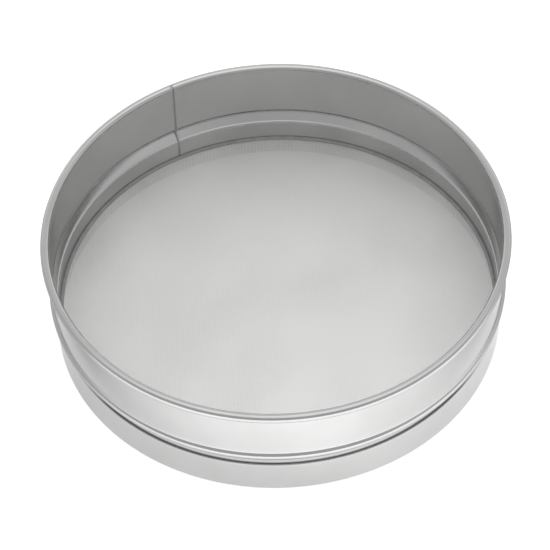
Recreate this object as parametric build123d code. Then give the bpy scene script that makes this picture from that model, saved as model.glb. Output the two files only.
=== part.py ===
"""Test sieve, 200 mm x 50 mm: a rolled sheet-steel frame with a curled rim and a pressed bead, a hemmed
clamp ring pushed up over its lower wall, wire cloth gripped between the two, and a sealing fillet.

Millimetres, +Z up. The origin is on the sieve's axis, in the plane that its lower edge stands on.
"""

import os
from math import cos, degrees, floor, hypot, radians, sin, sqrt

from build123d import *

# Driving dimensions: the frame
bore_diameter = 200.0  # inside of the upper wall, which the skirt of the next sieve slides into
overall_height = 54.5
sheet_thickness = 0.8  # of the frame and of the clamp ring
rim_diameter = 4.0  # outside of the curl along the top edge
rim_sweep = 300.0  # how far round the curl turns, from the wall out, over and back
bead_height = 24.6  # of the bead's crest
bead_stand_out = 1.2  # of the crest beyond the upper wall
bead_rise_angle = 50.0  # steepest lean of the bead's upper flank, from upright
bead_fall_angle = 35.0  # lean of the flank under the crest
ledge_angle = 60.0  # lean of the ledge where the frame steps in to its lower wall
ledge_run = 0.2
ledge_radius = 0.9  # of the bends above and below the ledge
seam_angle = 116.0  # where the frame's upright seam is, from +X towards +Y
seam_width = 0.8
seam_depth = 0.2  # of the weld's groove, in either face of the sheet

# The clamp ring, which is also the skirt
skirt_clearance = 0.4  # of the ring inside a bore like this sieve's own, on the radius
clamp_ring_height = 16.7
clamp_lip_radius = 0.5  # rounding along the ring's upper edge
clamp_clearance = 0.15  # of the ring over the frame's lower wall, on the radius
hem_gap = 0.3  # between the two legs of the ring's hem

# The wire cloth, as ridges along X below and along Y above on a thin web, with a plain grid of openings
cloth_height = 9.7  # of the cloth's upper side
cloth_thickness = 0.6
web_thickness = 0.16
ridge_pitch = 3.0
ridge_base_width = 1.8
ridge_crown_width = 0.8
ridge_margin = 1.0  # flat border between the ridges and the sealing fillet
opening_pitch = 15.0
opening_width = 7.2

# The sealing fillet between cloth and frame
seal_width = 1.2
seal_edge = 0.15  # thickness it runs out to
seal_clearance = 0.05

# Worked out from them
bore_radius = bore_diameter / 2
rim_radius = rim_diameter / 2
half_sheet = sheet_thickness / 2
rim_centre_radius = bore_radius + rim_radius
rim_centre_height = overall_height - rim_radius
skirt_radius = bore_radius - skirt_clearance
lower_wall_outside = skirt_radius - sheet_thickness - clamp_clearance
lower_wall_inside = lower_wall_outside - sheet_thickness
cloth_underside = cloth_height - cloth_thickness
seal_radius = lower_wall_inside - seal_clearance
ridge_field_radius = seal_radius - seal_width - ridge_margin
trough_half_mouth = (ridge_pitch - ridge_crown_width) / 2
trough_half_floor = (ridge_pitch - ridge_base_width) / 2


class Sheet:
    """Section of a bent sheet, drawn along the middle of its thickness in straight runs and tangent bends.

    X is the radius from the sieve's axis and Y the height. heading is in degrees: 0 is outward, 90 is up.
    """

    def __init__(self, radius, height, heading, half_thickness):
        self.at = Vector(radius, height)
        self.heading = heading
        self.half_thickness = half_thickness
        self.faces = ([], [])

    def left(self):
        return Vector(0, 1).rotate(Axis.Z, self.heading)

    def sides(self):
        offset = self.left() * self.half_thickness
        return self.at + offset, self.at - offset

    def run(self, length):
        step = Vector(length, 0).rotate(Axis.Z, self.heading)
        for face, start in zip(self.faces, self.sides()):
            face.append(Line(start, start + step))
        self.at += step

    def bend(self, radius, turn):
        """Bends by turn degrees, to the left where turn is above 0, about a centre radius from mid-sheet."""
        centre = self.at + self.left() * (radius if turn > 0 else -radius)
        for face, start in zip(self.faces, self.sides()):
            spoke = start - centre
            half_way = centre + spoke.rotate(Axis.Z, turn / 2)
            face.append(ThreePointArc(start, half_way, centre + spoke.rotate(Axis.Z, turn)))
        self.at = centre + (self.at - centre).rotate(Axis.Z, turn)
        self.heading += turn

    def section(self):
        left_face, right_face = self.faces
        first_end = Line(left_face[0] @ 0, right_face[0] @ 0)
        last_end = Line(left_face[-1] @ 1, right_face[-1] @ 1)
        return make_face(left_face + right_face + [first_end, last_end])


def turned(section, angle=360.0, start=0.0):
    """Turns a section about the sieve's axis, through angle degrees from start."""
    return Rot(0, 0, start) * revolve(Rot(90, 0, 0) * section, Axis.Z, angle)


def frame_section(half_thickness):
    """From the curl's free edge over the rim, down the wall, round the bead and over the ledge."""
    curl_radius = rim_radius - half_sheet
    curl_start = Vector(curl_radius, 0).rotate(Axis.Z, 180 - rim_sweep)
    frame = Sheet(
        rim_centre_radius + curl_start.X,
        rim_centre_height + curl_start.Y,
        270 - rim_sweep,
        half_thickness,
    )
    frame.bend(curl_radius, rim_sweep)

    rise = radians(bead_rise_angle)
    fall = radians(bead_fall_angle)
    ledge = radians(ledge_angle)
    bead_radius = bead_stand_out / 2 / (1 - cos(rise))
    frame.run(frame.at.Y - bead_height - 2 * bead_radius * sin(rise))
    frame.bend(bead_radius, bead_rise_angle)
    frame.bend(bead_radius, -bead_rise_angle)
    frame.bend(bead_radius, -bead_fall_angle)

    step_in = frame.at.X - (lower_wall_inside + half_sheet)
    ledge_step = ledge_run * sin(ledge) + ledge_radius * (1 + cos(fall) - 2 * cos(ledge))
    frame.run((step_in - ledge_step) / sin(fall))
    frame.bend(ledge_radius, bead_fall_angle - ledge_angle)
    frame.run(ledge_run)
    frame.bend(ledge_radius, ledge_angle)
    frame.run(frame.at.Y - cloth_height)
    return frame.section()


def make_frame():
    """The rolled strip, with its ends welded in an upright seam that lies a little below both faces."""
    seam_turn = degrees(seam_width / bore_radius)
    strip = turned(frame_section(half_sheet), 360 - seam_turn, seam_angle + seam_turn / 2)
    weld = turned(frame_section(half_sheet - seam_depth), seam_turn, seam_angle - seam_turn / 2)
    return strip + weld


def make_clamp_ring():
    """A plain band whose lower edge is folded in and up, into a hem that carries the cloth."""
    bend_radius = (sheet_thickness + hem_gap) / 2
    ring = Sheet(skirt_radius - half_sheet, clamp_ring_height, -90, half_sheet)
    ring.run(clamp_ring_height - bend_radius - half_sheet)
    ring.bend(bend_radius, -180)
    ring.run(cloth_underside - ring.at.Y)
    band = turned(ring.section())
    lip = band.edges().filter_by_position(Axis.Z, clamp_ring_height, clamp_ring_height)
    return fillet(lip.sort_by(SortBy.LENGTH)[-1], clamp_lip_radius)


def trough(across):
    """The space between two neighbouring ridges, whose middle is this far from the cloth's own middle."""
    top = cloth_thickness / 2
    floor_height = web_thickness / 2
    section = Plane.XZ * Polygon(
        (across - trough_half_floor, floor_height),
        (across + trough_half_floor, floor_height),
        (across + trough_half_mouth, top),
        (across - trough_half_mouth, top),
        align=None,
    )
    half_length = sqrt(ridge_field_radius**2 - (abs(across) + trough_half_mouth) ** 2)
    return extrude(section, half_length, both=True)


def lanes(pitch):
    """Where lanes of this pitch lie across the ridged field, half of them on each side of the middle."""
    a_side = floor(ridge_field_radius / pitch)
    return [(index + 0.5) * pitch for index in range(-a_side, a_side)]


def make_cloth():
    """A disc with a flat border, and inside it ridges one way above and the other way below."""
    middle = Pos(0, 0, (cloth_height + cloth_underside) / 2)
    trough_lanes = [
        lane for lane in lanes(ridge_pitch) if abs(lane) + trough_half_mouth < ridge_field_radius
    ]
    above = [middle * trough(lane) for lane in trough_lanes]
    below = [middle * Rot(180, 0, 90) * trough(lane) for lane in trough_lanes]
    openings = [
        middle * Pos(x, y) * Box(opening_width, opening_width, cloth_thickness)
        for x in lanes(opening_pitch)
        for y in lanes(opening_pitch)
        if hypot(abs(x) + opening_width / 2, abs(y) + opening_width / 2) < ridge_field_radius
    ]
    disc = middle * Cylinder(lower_wall_outside, cloth_thickness)
    return disc - above - below - openings


def make_seal():
    """A concave fillet round the corner between the cloth and the frame's lower wall."""
    outer = seal_radius
    inner = seal_radius - seal_width
    top = cloth_height + seal_width
    hollow_start = Vector(inner, cloth_height + seal_edge)
    hollow_end = Vector(outer - seal_edge, top)
    hollow = RadiusArc(hollow_start, hollow_end, -seal_width)
    outline = [
        hollow,
        Polyline(hollow_end, (outer, top), (outer, cloth_height), (inner, cloth_height), hollow_start),
    ]
    return turned(make_face(outline))


PIECES = {
    "frame": make_frame,
    "clamp_ring": make_clamp_ring,
    "wire_cloth": make_cloth,
    "seal": make_seal,
}

os.makedirs("parts", exist_ok=True)
for name, make in PIECES.items():
    export_step(make(), f"parts/{name}.step")
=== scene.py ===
"""Dresses the test sieve: a polished frame and clamp ring turned in fine mesh, cloth woven wire by wire,
the seal, their materials, a pale studio and the camera. Metres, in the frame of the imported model.
"""

import bpy
import numpy as np
from mathutils import Matrix, Vector


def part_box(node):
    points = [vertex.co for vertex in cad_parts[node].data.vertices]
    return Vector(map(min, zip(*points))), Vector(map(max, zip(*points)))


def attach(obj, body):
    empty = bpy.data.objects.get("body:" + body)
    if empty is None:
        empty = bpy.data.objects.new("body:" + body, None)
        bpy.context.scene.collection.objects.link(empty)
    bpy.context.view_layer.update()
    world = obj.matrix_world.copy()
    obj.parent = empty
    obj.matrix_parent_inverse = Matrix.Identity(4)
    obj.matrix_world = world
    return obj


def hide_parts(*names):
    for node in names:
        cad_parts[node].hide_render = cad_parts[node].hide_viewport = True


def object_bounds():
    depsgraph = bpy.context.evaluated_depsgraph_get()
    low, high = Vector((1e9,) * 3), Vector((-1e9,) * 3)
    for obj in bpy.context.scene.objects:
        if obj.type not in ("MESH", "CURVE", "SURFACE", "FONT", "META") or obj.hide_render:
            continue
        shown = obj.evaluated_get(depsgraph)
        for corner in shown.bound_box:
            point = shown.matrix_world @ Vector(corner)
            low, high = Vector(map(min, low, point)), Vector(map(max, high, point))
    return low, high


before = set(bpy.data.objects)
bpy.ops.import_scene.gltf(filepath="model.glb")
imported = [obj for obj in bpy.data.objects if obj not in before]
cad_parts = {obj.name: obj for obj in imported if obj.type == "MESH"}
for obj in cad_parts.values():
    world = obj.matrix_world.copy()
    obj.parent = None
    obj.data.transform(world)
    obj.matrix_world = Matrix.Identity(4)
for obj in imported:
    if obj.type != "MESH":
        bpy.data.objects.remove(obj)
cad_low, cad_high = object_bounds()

MM = 0.001

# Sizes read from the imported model
_, frame_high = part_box("frame")
_, ring_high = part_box("clamp_ring")
cloth_low, cloth_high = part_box("wire_cloth")
_, seal_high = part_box("seal")
rim_outside = round(frame_high.x, 5)
overall_height = frame_high.z
cloth_top = cloth_high.z
cloth_bottom = cloth_low.z
skirt_radius = round(ring_high.x, 5)
lower_wall_outside = round(cloth_high.x, 5)
seal_radius = round(seal_high.x, 5)

# Sizes of the sheet metal that boxes don't give, as the model has them. Angles are in degrees.
sheet = 0.8 * MM
rim_radius = 2.0 * MM
rim_sweep = 300.0
bead_height = 24.6 * MM
bead_stand_out = 1.2 * MM
bead_rise_angle = 50.0
bead_fall_angle = 35.0
ledge_angle = 60.0
ledge_run = 0.2 * MM
ledge_radius = 0.9 * MM
hem_gap = 0.3 * MM
clamp_lip_radius = 0.5 * MM
seam_angle = 116.0
seam_width = 0.8 * MM
seam_depth = 0.2 * MM
seal_width = 1.2 * MM
seal_edge = 0.15 * MM

# The weave
wire_pitch = 0.66 * MM
wire_diameter = (cloth_top - cloth_bottom) / 2
wire_width = 0.38 * MM  # across the flat that rolling left along the top of each wire
cloth_radius = lower_wall_outside - 0.1 * MM
wire_sides = 3
wires_a_piece = 72

# How finely the pieces are meshed, and from which angle between two faces their edge is sharp
STATIONS = 360
BEND_STEP = 12.0
LIP_ANGLES = (72, 54, 36, 18)
HOLLOW_POINTS = 8
SHEET_CREASE = 40.0
WIRE_CREASE = 60.0

# Finish. Scales are in features a metre, along X, Y and Z; colours and roughnesses are each a low and a high.
ROLLING_LINES = (14, 14, 2600)
LINE_DEPTH = 0.003 * MM
SHEET_CLOUDS = (28, 28, 28)
SHEET_COLOURS = ((0.53, 0.53, 0.527), (0.58, 0.58, 0.577))
SHEET_ROUGHNESS = (0.15, 0.24)
SHEET_EDGE = (0.8, 0.8, 0.8, 1)  # how bright the sheet is where it is seen nearly edge on
# Painted shade along the seam: its colour darkens the groove as shade would; its roughness is a real change
# of finish.
SEAM_SHADE_SPAN = (0.3 * MM, 0.8 * MM)  # from the seam's middle: where its painted shade and rougher finish start to fade, and are gone
SEAM_PAINTED_SHADE = (0.42, 0.42, 0.417, 1)
SEAM_ROUGHNESS = 0.34
WIRE_CLOUDS = (30, 30, 30)
WIRE_GRAIN = (900, 900, 900)
WIRE_COLOURS = ((0.93, 0.93, 0.925), (0.99, 0.99, 0.985))
WIRE_ROUGHNESS = (0.72, 0.84)
RESIN_CLOUDS = (300, 300, 300)
RESIN_COLOURS = ((0.3, 0.3, 0.3), (0.38, 0.38, 0.38))
RESIN_ROUGHNESS = (0.3, 0.45)

# The floor: a matt white sweep. Its lift is for the camera alone, and its glow for reflections alone.
FLOOR_SIZE = 4.0
FLOOR_COLOUR = (0.9, 0.9, 0.9, 1)
FLOOR_ROUGHNESS = 0.9
FLOOR_LIFT = 0.62
FLOOR_PAINTED_LIGHT_BELOW = (0.14, 0.42)  # painted light for the camera on the floor under the cloth, at the cloth's back and its front, where the floor shows between wires
FLOOR_GLOW = 1.0
FLOOR_GLOW_WAY = (0.12, -1, 0)
FLOOR_GLOW_SPAN = (0.02, 0.14)  # along that way from the axis: where the glow starts, and is full
FOOT_GLOW = (0.5, 0.72)  # close round the sieve, at its left and its right
FOOT_SPAN = (0.115, 0.123)  # from the axis: where the glow round the foot gives way to the glow in front

# The room's brightness by direction. Each span is a range of the direction's share along the way named.
ROOM_FRONT = 0.55
ROOM_BACK = 1.15
ROOM_BACK_HIGH = 0.73
ROOM_LEFT = 0.62
ROOM_RIGHT = 0.8
BACK_WAY = (0, 1, 0)
BACK_SPAN = (-0.4, 0.7)
BACK_HIGH_SPAN = (-0.4, 0.5)
LEFT_WAY = (-1, 0, 0.2)
RIGHT_WAY = (1, 0, 0.2)
SIDE_SPAN = (0.5, 0.9)
UP_WAY = (0, 0, 1)
UP_SPAN = (0.1, 0.75)
OVERHEAD = 1.25
OVERHEAD_WAY = (0.04, 0.06, 1)
OVERHEAD_SPAN = (0.8, 0.93)

# The view of the photograph, whose image is 550 pixels square. The rim's plane is the plane of the
# middle of the curl, and its centre shows at these pixels.
image_side = 550
focal_pixels = 3819.0
camera_distance = 16.2 * rim_outside
camera_elevation = 49.15
camera_roll = -2.35
rim_centre_column = 275.67
rim_centre_row = 236.45
SENSOR_WIDTH = 36.0
CLIP_END = 20.0


# ---------------------------------------------------------------- turned sheet metal
class Sheet:
    """Section of a bent sheet, as its two faces' points, from straight runs and tangent bends.

    X is the radius from the sieve's axis and Y the height. heading is in degrees: 0 is outward, 90 is up.
    """

    def __init__(self, radius, height, heading, thickness=sheet):
        self.at = np.array([radius, height])
        self.heading = heading
        self.half = thickness / 2
        self.left_face = []
        self.right_face = []
        self.mark()

    @staticmethod
    def toward(angle):
        return np.array([np.cos(np.radians(angle)), np.sin(np.radians(angle))])

    def mark(self):
        offset = self.toward(self.heading + 90) * self.half
        self.left_face.append(self.at + offset)
        self.right_face.append(self.at - offset)

    def run(self, length, steps=1):
        for _ in range(steps):
            self.at = self.at + self.toward(self.heading) * length / steps
            self.mark()

    def bend(self, radius, turn):
        side = 90 if turn > 0 else -90
        centre = self.at + self.toward(self.heading + side) * radius
        steps = max(2, round(abs(turn) / BEND_STEP))
        for _ in range(steps):
            self.heading += turn / steps
            self.at = centre - self.toward(self.heading + side) * radius
            self.mark()

    def outline(self):
        return np.array(self.left_face + self.right_face[::-1])


def frame_outline(thickness):
    """From the curl's free edge over the rim, down the wall, round the bead and over the ledge."""
    curl_radius = rim_radius - sheet / 2
    curl_centre = np.array([rim_outside - rim_radius, overall_height - rim_radius])
    start = curl_centre + Sheet.toward(180 - rim_sweep) * curl_radius
    section = Sheet(start[0], start[1], 270 - rim_sweep, thickness)
    section.bend(curl_radius, rim_sweep)

    rise, fall, ledge = np.radians([bead_rise_angle, bead_fall_angle, ledge_angle])
    bead_radius = bead_stand_out / 2 / (1 - np.cos(rise))
    section.run(section.at[1] - bead_height - 2 * bead_radius * np.sin(rise), steps=8)
    section.bend(bead_radius, bead_rise_angle)
    section.bend(bead_radius, -bead_rise_angle)
    section.bend(bead_radius, -bead_fall_angle)
    step_in = section.at[0] - (lower_wall_outside - sheet / 2)
    ledge_step = ledge_run * np.sin(ledge) + ledge_radius * (1 + np.cos(fall) - 2 * np.cos(ledge))
    section.run((step_in - ledge_step) / np.sin(fall))
    section.bend(ledge_radius, bead_fall_angle - ledge_angle)
    section.run(ledge_run)
    section.bend(ledge_radius, ledge_angle)
    section.run(section.at[1] - cloth_top, steps=4)
    return section.outline()


def ring_outline():
    """From the clamp ring's rounded lip down and round the hem to the leg under the cloth."""
    bend_radius = (sheet + hem_gap) / 2
    section = Sheet(skirt_radius - sheet / 2, ring_high.z - clamp_lip_radius, -90)
    section.run(section.at[1] - bend_radius - sheet / 2, steps=6)
    section.bend(bend_radius, -180)
    section.run(cloth_bottom - section.at[1], steps=3)
    lip_centre = np.array([skirt_radius - clamp_lip_radius, ring_high.z - clamp_lip_radius])
    lip = [lip_centre + Sheet.toward(angle) * clamp_lip_radius for angle in (90, *LIP_ANGLES)]
    return np.array([*section.outline(), (skirt_radius - sheet, ring_high.z), *lip])


def seal_outline():
    """A small hollow fillet in the corner of cloth and wall."""
    top = cloth_top + seal_width
    inner = seal_radius - seal_width
    centre = np.array([inner, top])
    reach = seal_width - seal_edge
    hollow = [centre + Sheet.toward(angle) * reach for angle in np.linspace(-90, 0, HOLLOW_POINTS)]
    return np.array([(inner, cloth_top), *hollow, (seal_radius, top), (seal_radius, cloth_top)])


def add_piece(name, mesh, node, finish):
    material, slot = FINISHES[finish]
    piece = bpy.data.objects.new(name, mesh)
    bpy.context.scene.collection.objects.link(piece)
    mesh.materials.append(material)
    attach(piece, "root")
    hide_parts(node)


def turned_piece(name, node, finish, outline, seam_outline=None):
    """Turns a closed outline round the axis. A seam outline is used at one station, beside two plain ones."""
    angles = np.radians(seam_angle) + np.linspace(0, 2 * np.pi, STATIONS, endpoint=False)
    outlines = [outline] * STATIONS
    if seam_outline is not None:
        half = seam_width / 2 / rim_outside
        angles = np.concatenate([angles[:1], angles[:1] + half, angles[1:], angles[:1] - half + 2 * np.pi])
        outlines = [seam_outline] + [outline] * (STATIONS + 1)
    rings = [
        np.column_stack([points[:, 0] * np.cos(angle), points[:, 0] * np.sin(angle), points[:, 1]])
        for angle, points in zip(angles, outlines)
    ]
    count, width = len(rings), len(outline)
    station, point = np.meshgrid(np.arange(count), np.arange(width), indexing="ij")
    next_station = (station + 1) % count
    next_point = (point + 1) % width
    corners = [
        station * width + point,
        station * width + next_point,
        next_station * width + next_point,
        next_station * width + point,
    ]
    faces = np.stack(corners, axis=-1).reshape(-1, 4)
    mesh = bpy.data.meshes.new(name)
    mesh.from_pydata(np.concatenate(rings).tolist(), [], faces.tolist())
    mesh.validate()
    mesh.shade_smooth()
    mesh.set_sharp_from_angle(angle=np.radians(SHEET_CREASE))
    add_piece(name, mesh, node, finish)


# ---------------------------------------------------------------- woven wire
def wires(lanes, along_x):
    """Vertices, sides and ends of parallel wires that rise and fall over one crossing each.

    Each wire has a flat on top, and a corner below in the middle.
    """
    radius = wire_diameter / 2
    middle = (cloth_top + cloth_bottom) / 2
    spin = np.radians(90 + (np.arange(wire_sides) + 0.5) * 360 / wire_sides)
    half_width = wire_width / 2 / np.cos(spin).max()
    vertices, sides, ends, made = [], [], [], 0
    for lane in lanes:
        across = lane * wire_pitch
        reach = int(np.sqrt(cloth_radius**2 - across**2) / wire_pitch)
        if reach < 1:
            continue
        crossings = np.arange(-reach, reach + 1)
        over = (-1.0) ** (crossings + lane) * (1 if along_x else -1)
        run = np.repeat((crossings * wire_pitch)[:, None], wire_sides, axis=1)
        side = np.tile(across + half_width * np.cos(spin), (len(crossings), 1))
        height = middle + over[:, None] * radius + radius * np.sin(spin)
        layers = [run, side, height] if along_x else [side, run, height]
        vertices.append(np.stack(layers, axis=-1).reshape(-1, 3))

        row, corner = np.meshgrid(np.arange(len(crossings) - 1), np.arange(wire_sides), indexing="ij")
        next_corner = (corner + 1) % wire_sides
        corners = [
            made + row * wire_sides + corner,
            made + row * wire_sides + next_corner,
            made + (row + 1) * wire_sides + next_corner,
            made + (row + 1) * wire_sides + corner,
        ]
        first_end = made + np.arange(wire_sides)
        made += len(crossings) * wire_sides
        last_end = made - wire_sides + np.arange(wire_sides)
        # What faces outward turns round with the wires' direction.
        sides.append(np.stack(corners if along_x else corners[::-1], axis=-1).reshape(-1, 4))
        ends += [first_end[::-1], last_end] if along_x else [first_end, last_end[::-1]]
    return np.concatenate(vertices), np.concatenate(sides), np.array(ends)


def weave_cloth():
    """Each direction's wires, in several pieces side by side."""
    count = int(cloth_radius / wire_pitch)
    lanes = np.arange(-count, count + 1)
    for direction, along_x in (("weft", True), ("warp", False)):
        groups = np.array_split(lanes, round(len(lanes) / wires_a_piece))
        for number, group in enumerate(groups, start=1):
            vertices, sides, ends = wires(group, along_x)
            corners = np.concatenate([sides.ravel(), ends.ravel()])
            starts = np.concatenate(
                [np.arange(0, sides.size, 4), np.arange(sides.size, corners.size, wire_sides)]
            )
            name = f"cloth_{direction}_{number}"
            mesh = bpy.data.meshes.new(name)
            mesh.vertices.add(len(vertices))
            mesh.vertices.foreach_set("co", vertices.ravel())
            mesh.loops.add(len(corners))
            mesh.loops.foreach_set("vertex_index", corners.astype(np.int32))
            mesh.polygons.add(len(starts))
            mesh.polygons.foreach_set("loop_start", starts.astype(np.int32))
            mesh.update(calc_edges=True)
            mesh.shade_smooth()
            mesh.set_sharp_from_angle(angle=np.radians(WIRE_CREASE))
            add_piece(name, mesh, "wire_cloth", "cloth_steel")


# ---------------------------------------------------------------- nodes
class Nodes:
    """Short helpers to build a node tree. place is the output that gives each point's place or direction."""

    def __init__(self, tree, place):
        self.tree = tree
        self.new = tree.nodes.new
        self.place = self.new("ShaderNodeTexCoord").outputs[place]

    def feed(self, target, value):
        """Links an output to the target, or sets a plain value on it."""
        if isinstance(value, bpy.types.NodeSocket):
            self.tree.links.new(value, target)
        else:
            target.default_value = value

    def noise(self, scale, detail):
        """Noise with its own scale along each axis, in features a metre."""
        stretch = self.new("ShaderNodeMapping")
        stretch.inputs["Scale"].default_value = scale
        self.feed(stretch.inputs["Vector"], self.place)
        noise = self.new("ShaderNodeTexNoise")
        noise.inputs["Scale"].default_value = 1.0
        noise.inputs["Detail"].default_value = detail
        self.feed(noise.inputs["Vector"], stretch.outputs["Vector"])
        return noise.outputs["Fac"]

    def between(self, factor, low, high, span=(0.3, 0.7), ease="LINEAR"):
        """From low to high as the factor crosses the span."""
        spread = self.new("ShaderNodeMapRange")
        spread.interpolation_type = ease
        for name, value in zip(("From Min", "From Max", "To Min", "To Max"), (*span, low, high)):
            spread.inputs[name].default_value = value
        self.feed(spread.inputs["Value"], factor)
        return spread.outputs["Result"]

    def colours(self, factor, dark, light):
        ramp = self.new("ShaderNodeValToRGB")
        for element, position, colour in zip(ramp.color_ramp.elements, (0.3, 0.7), (dark, light)):
            element.position = position
            element.color = (*colour, 1)
        self.feed(ramp.inputs["Fac"], factor)
        return ramp.outputs["Color"]

    def along(self, way):
        """How far the place lies along this vector."""
        product = self.new("ShaderNodeVectorMath")
        product.operation = "DOT_PRODUCT"
        product.inputs[1].default_value = way
        self.feed(product.inputs[0], self.place)
        return product.outputs["Value"]

    def from_middle(self):
        length = self.new("ShaderNodeVectorMath")
        length.operation = "LENGTH"
        self.feed(length.inputs[0], self.place)
        return length.outputs["Value"]

    def maths(self, operation, *values):
        node = self.new("ShaderNodeMath")
        node.operation = operation
        for socket, value in zip(node.inputs, values):
            self.feed(socket, value)
        return node.outputs["Value"]

    def mixed(self, factor, first, second, kind="FLOAT"):
        """From first to second as the factor goes from 0 to 1."""
        mix = self.new("ShaderNodeMix")
        mix.data_type = kind
        low, high, out = (6, 7, 2) if kind == "RGBA" else (2, 3, 0)
        self.feed(mix.inputs[0], factor)
        self.feed(mix.inputs[low], first)
        self.feed(mix.inputs[high], second)
        return mix.outputs[out]

    def bump(self, height, distance):
        bump = self.new("ShaderNodeBump")
        bump.inputs["Distance"].default_value = distance
        self.feed(bump.inputs["Height"], height)
        return bump.outputs["Normal"]


class Finish(Nodes):
    """A material of its own, in the place of the object that has it."""

    def __init__(self, name):
        self.material = bpy.data.materials.new(name)
        self.material.use_nodes = True
        super().__init__(self.material.node_tree, "Object")
        self.shader = self.tree.nodes["Principled BSDF"]

    def set(self, name, value):
        self.feed(self.shader.inputs[name], value)


# ---------------------------------------------------------------- materials
def seam_shade_and_finish_mask(nodes):
    """1 along the frame's upright seam, where the groove gets painted shade and a rougher finish, and 0
    elsewhere, soft at its edges.
    """
    angle = np.radians(seam_angle)
    beside = nodes.along((-np.sin(angle), np.cos(angle), 0))
    outward = nodes.along((np.cos(angle), np.sin(angle), 0))
    near = nodes.between(nodes.maths("ABSOLUTE", beside), 1.0, 0.0, SEAM_SHADE_SPAN)
    return nodes.maths("MULTIPLY", near, nodes.maths("GREATER_THAN", outward, 0.0))


def sheet_steel(name, seam_shaded=False):
    """Bright rolled stainless, with fine lines round the hoop and faint clouding; where seam-shaded, painted
    shade darkens the seam's groove and its finish is rougher.
    """
    nodes = Finish(name)
    lines = nodes.noise(ROLLING_LINES, detail=4)
    colour = nodes.colours(nodes.noise(SHEET_CLOUDS, detail=3), *SHEET_COLOURS)
    roughness = nodes.between(lines, *SHEET_ROUGHNESS)
    if seam_shaded:
        # Painted shade: the seam's groove is darkened in colour, and its finish there is rougher.
        seam_shade_and_finish = seam_shade_and_finish_mask(nodes)
        colour = nodes.mixed(seam_shade_and_finish, colour, SEAM_PAINTED_SHADE, "RGBA")
        roughness = nodes.mixed(seam_shade_and_finish, roughness, SEAM_ROUGHNESS)
    nodes.set("Metallic", 1.0)
    nodes.set("Specular Tint", SHEET_EDGE)
    nodes.set("Base Color", colour)
    nodes.set("Roughness", roughness)
    nodes.set("Normal", nodes.bump(lines, LINE_DEPTH))
    return nodes.material


def cloth_steel():
    """Drawn stainless wire, much duller than the sheet."""
    nodes = Finish("cloth_steel")
    nodes.set("Metallic", 1.0)
    nodes.set("Base Color", nodes.colours(nodes.noise(WIRE_CLOUDS, detail=4), *WIRE_COLOURS))
    nodes.set("Roughness", nodes.between(nodes.noise(WIRE_GRAIN, detail=2), *WIRE_ROUGHNESS))
    return nodes.material


def seal_resin():
    """Smooth grey resin."""
    nodes = Finish("seal")
    clouds = nodes.noise(RESIN_CLOUDS, detail=3)
    nodes.set("Base Color", nodes.colours(clouds, *RESIN_COLOURS))
    nodes.set("Roughness", nodes.between(clouds, *RESIN_ROUGHNESS))
    return nodes.material


# Each finish, with the record's slot that it belongs to
FINISHES = {
    "seam_shaded_steel": (sheet_steel("seam_shaded_steel", seam_shaded=True), "sheet_steel"),
    "sheet_steel": (sheet_steel("sheet_steel"), "sheet_steel"),
    "cloth_steel": (cloth_steel(), "cloth_steel"),
    "seal": (seal_resin(), "seal"),
}


# ---------------------------------------------------------------- studio
def floor_material():
    """White paper. It is lifted for the camera, as an exposure for white does; under the cloth it gets
    painted light instead, weaker, and brighter toward the front.

    In reflections it glows in front of the sieve and close round its foot.
    """
    nodes = Finish("floor")
    nodes.set("Base Color", FLOOR_COLOUR)
    nodes.set("Roughness", FLOOR_ROUGHNESS)
    nodes.set("Specular IOR Level", 0.0)
    path = nodes.new("ShaderNodeLightPath")
    forward = nodes.along(FLOOR_GLOW_WAY)
    from_axis = nodes.from_middle()
    across = (-skirt_radius, skirt_radius)
    outside = nodes.between(from_axis, 0.0, 1.0, (skirt_radius - sheet, skirt_radius))
    past_foot = nodes.between(from_axis, 0.0, 1.0, FOOT_SPAN)

    # Painted light: under the cloth the floor is lifted for the camera, less at the back and more toward the
    # front, and shows between the wires.
    below = nodes.between(forward, *FLOOR_PAINTED_LIGHT_BELOW, across)
    lift = nodes.mixed(outside, below, FLOOR_LIFT)
    in_front = nodes.between(forward, 0.0, FLOOR_GLOW, FLOOR_GLOW_SPAN)
    round_foot = nodes.between(nodes.along((1, 0, 0)), *FOOT_GLOW, across)
    mirrored = nodes.mixed(nodes.maths("SUBTRACT", outside, past_foot), in_front, round_foot)

    seen = nodes.maths("MULTIPLY", path.outputs["Is Camera Ray"], lift)
    glow = nodes.new("ShaderNodeEmission")
    strength = nodes.maths("MULTIPLY_ADD", path.outputs["Is Glossy Ray"], mirrored, seen)
    nodes.feed(glow.inputs["Strength"], strength)
    both = nodes.new("ShaderNodeAddShader")
    nodes.feed(both.inputs[0], nodes.shader.outputs["BSDF"])
    nodes.feed(both.inputs[1], glow.outputs["Emission"])
    nodes.feed(nodes.tree.nodes["Material Output"].inputs["Surface"], both.outputs["Shader"])
    return nodes.material


def build_floor():
    mesh = bpy.data.meshes.new("floor")
    corners = [(x * FLOOR_SIZE, y * FLOOR_SIZE, 0) for x, y in ((-1, -1), (1, -1), (1, 1), (-1, 1))]
    mesh.from_pydata(corners, [], [(0, 1, 2, 3)])
    floor = bpy.data.objects.new("floor", mesh)
    floor.location.z = cad_low.z
    bpy.context.scene.collection.objects.link(floor)
    mesh.materials.append(floor_material())


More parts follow.
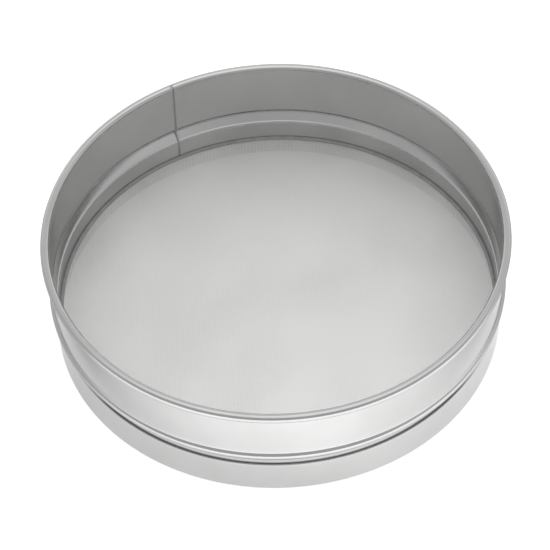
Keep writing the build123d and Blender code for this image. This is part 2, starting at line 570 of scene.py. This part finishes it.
def build_world():
    """The room round the table, palest low behind it and darkest in front, and soft light overhead."""
    world = bpy.data.worlds.new("room")
    bpy.context.scene.world = world
    world.use_nodes = True
    nodes = Nodes(world.node_tree, "Generated")

    def toward(way, span):
        """From 0 to 1 as a direction turns toward this way."""
        return nodes.between(nodes.along(Vector(way).normalized()), 0.0, 1.0, span, "SMOOTHSTEP")

    low = nodes.mixed(toward(BACK_WAY, BACK_SPAN), ROOM_FRONT, ROOM_BACK)
    low = nodes.mixed(toward(LEFT_WAY, SIDE_SPAN), low, ROOM_LEFT)
    low = nodes.mixed(toward(RIGHT_WAY, SIDE_SPAN), low, ROOM_RIGHT)
    high = nodes.mixed(toward(BACK_WAY, BACK_HIGH_SPAN), ROOM_FRONT, ROOM_BACK_HIGH)
    level = nodes.mixed(toward(UP_WAY, UP_SPAN), low, high)
    level = nodes.mixed(toward(OVERHEAD_WAY, OVERHEAD_SPAN), level, OVERHEAD)
    background = world.node_tree.nodes["Background"]
    nodes.feed(background.inputs["Strength"], level)
    nodes.feed(background.inputs["Color"], (1, 1, 1, 1))


# ---------------------------------------------------------------- camera
def build_camera():
    elevation = np.radians(camera_elevation)
    back = Vector((0, -np.cos(elevation), np.sin(elevation)))
    rim_centre = Vector((0, 0, overall_height - rim_radius))
    place = rim_centre + back * camera_distance
    right = Vector((1, 0, 0))
    up = back.cross(right)
    roll = np.radians(camera_roll)
    right, up = (
        right * np.cos(roll) + up * np.sin(roll),
        up * np.cos(roll) - right * np.sin(roll),
    )
    # Turned a little, so that the rim's centre isn't at the middle of the image but at its own pixels.
    aside = (rim_centre_column - image_side / 2) / focal_pixels
    above = (image_side / 2 - rim_centre_row) / focal_pixels
    back = (back + right * aside + up * above).normalized()
    right = (right - back * right.dot(back)).normalized()
    up = back.cross(right)
    lens = bpy.data.cameras.new("camera")
    lens.sensor_width = SENSOR_WIDTH
    lens.lens = focal_pixels / image_side * SENSOR_WIDTH
    lens.clip_end = CLIP_END
    camera = bpy.data.objects.new("camera", lens)
    turn = Matrix((right, up, back)).transposed()
    camera.matrix_world = Matrix.Translation(place) @ turn.to_4x4()
    bpy.context.scene.collection.objects.link(camera)
    bpy.context.scene.camera = camera


frame_seam = frame_outline(sheet - 2 * seam_depth)
turned_piece("frame_hoop", "frame", "seam_shaded_steel", frame_outline(sheet), frame_seam)
turned_piece("clamp_ring_hoop", "clamp_ring", "sheet_steel", ring_outline())
turned_piece("seal_fillet", "seal", "seal", seal_outline())
weave_cloth()
build_floor()
build_world()
build_camera()
bpy.context.scene.view_settings.view_transform = "Standard"
